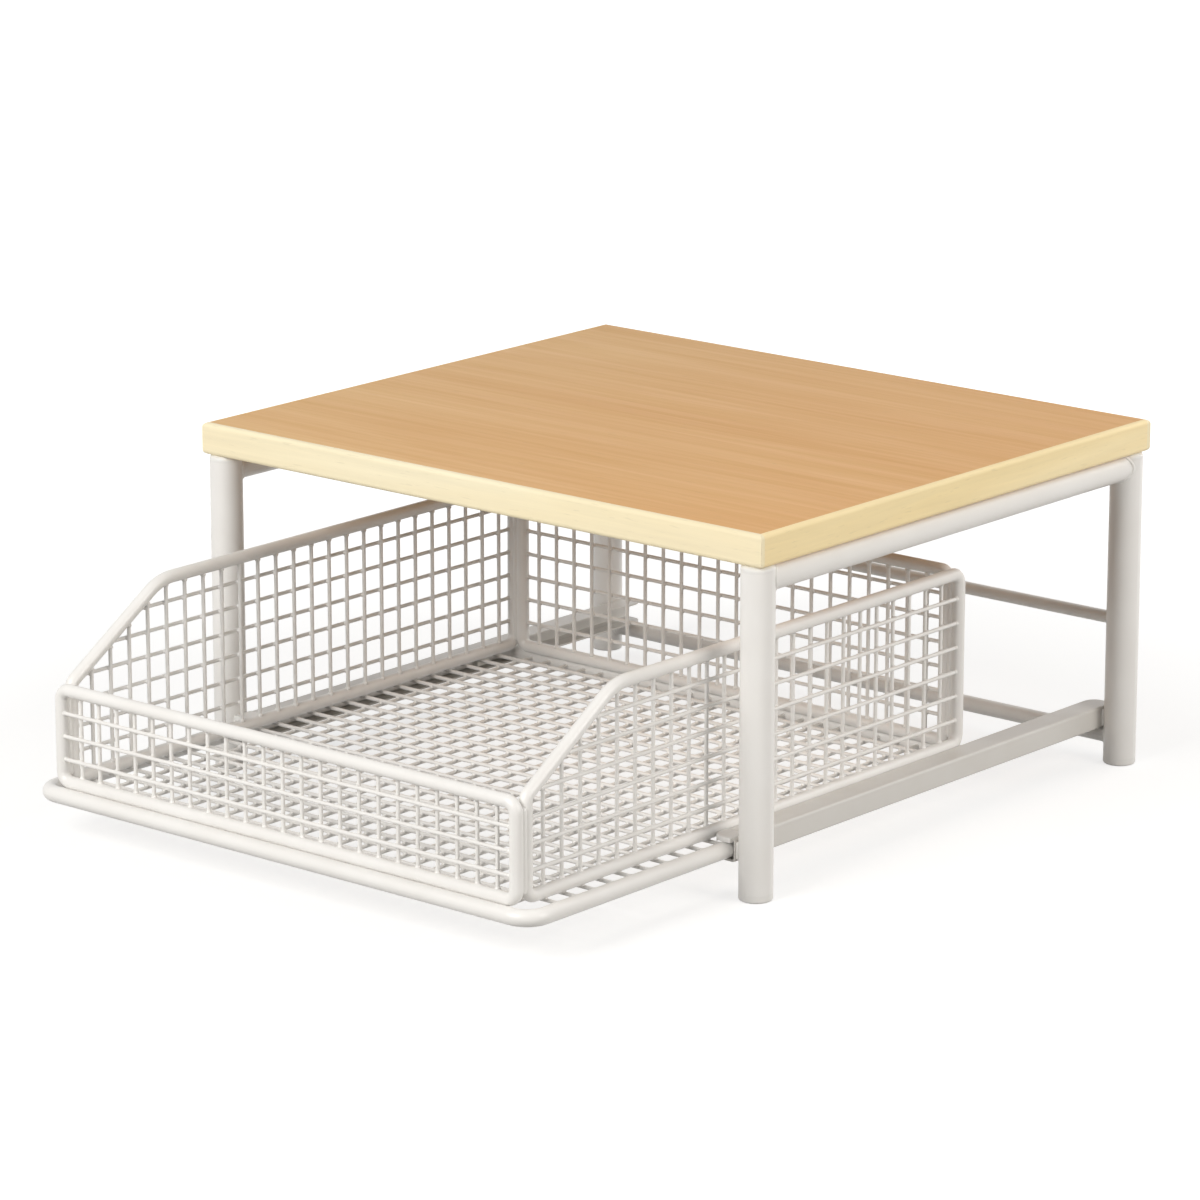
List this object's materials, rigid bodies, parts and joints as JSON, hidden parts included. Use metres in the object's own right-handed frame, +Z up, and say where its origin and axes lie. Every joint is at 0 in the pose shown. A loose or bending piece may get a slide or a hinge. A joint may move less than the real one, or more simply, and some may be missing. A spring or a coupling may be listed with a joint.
{
  "type": "microwave stand with drawer",
  "caption": "Counter-top shelf on round white legs with a pull-out wire basket drawer that slides in channels under a pale maple board.",
  "frame": {"origin": "on the floor, under the middle of the whole part's box with the drawer pulled out as it rests", "axes": "+X across the width, towards the right-hand legs seen from the front; +Y from the drawer's front to the back of the board, so the drawer pulls out towards -Y; +Z up"},
  "size_m": [0.55, 0.6982, 0.275],
  "materials": {
    "maple_laminate": "satin wood-look laminate, warm tan with fine straight grain",
    "edge_banding": "pale cream wood-look edge banding, satin",
    "white_steel": "warm white powder coat, smooth satin",
    "white_plastic": "moulded white plastic, satin",
    "nylon": "natural white nylon, waxy",
    "zinc_steel": "bright zinc plate"
  },
  "bodies": {
    "stand": {"board_screws": "zinc_steel", "channel_left": "white_steel", "channel_right": "white_steel", "edge_band_front": "edge_banding", "edge_band_left": "edge_banding", "edge_band_rear": "edge_banding", "edge_band_right": "edge_banding", "foot_front_left": "white_plastic", "foot_front_right": "white_plastic", "foot_rear_left": "white_plastic", "foot_rear_right": "white_plastic", "leg_cap_front_left": "white_plastic", "leg_cap_front_right": "white_plastic", "leg_cap_rear_left": "white_plastic", "leg_cap_rear_right": "white_plastic", "leg_front_left": "white_steel", "leg_front_right": "white_steel", "leg_rear_left": "white_steel", "leg_rear_right": "white_steel", "mouth_guide_left": "nylon", "mouth_guide_right": "nylon", "rear_rail_lower": "white_steel", "rear_rail_upper": "white_steel", "tabletop_board": "maple_laminate", "top_rail_left": "white_steel", "top_rail_right": "white_steel"},
    "drawer": {"base_loop": "white_steel", "floor_cross_wires": "white_steel", "floor_long_wires": "white_steel", "front_frame": "white_steel", "front_level_wires": "white_steel", "front_upright_wires": "white_steel", "left_level_wires": "white_steel", "left_upright_wires": "white_steel", "rear_frame": "white_steel", "rear_level_wires": "white_steel", "rear_upright_wires": "white_steel", "right_level_wires": "white_steel", "right_upright_wires": "white_steel", "side_frame_left": "white_steel", "side_frame_right": "white_steel", "slide_shoe_left": "nylon", "slide_shoe_right": "nylon"}
  },
  "joints": [
    {"name": "drawer_slide", "type": "slide", "parent": "stand", "child": "drawer", "axis": [0, -1, 0], "range_m": [-0.16, 0.247]}
  ]
}
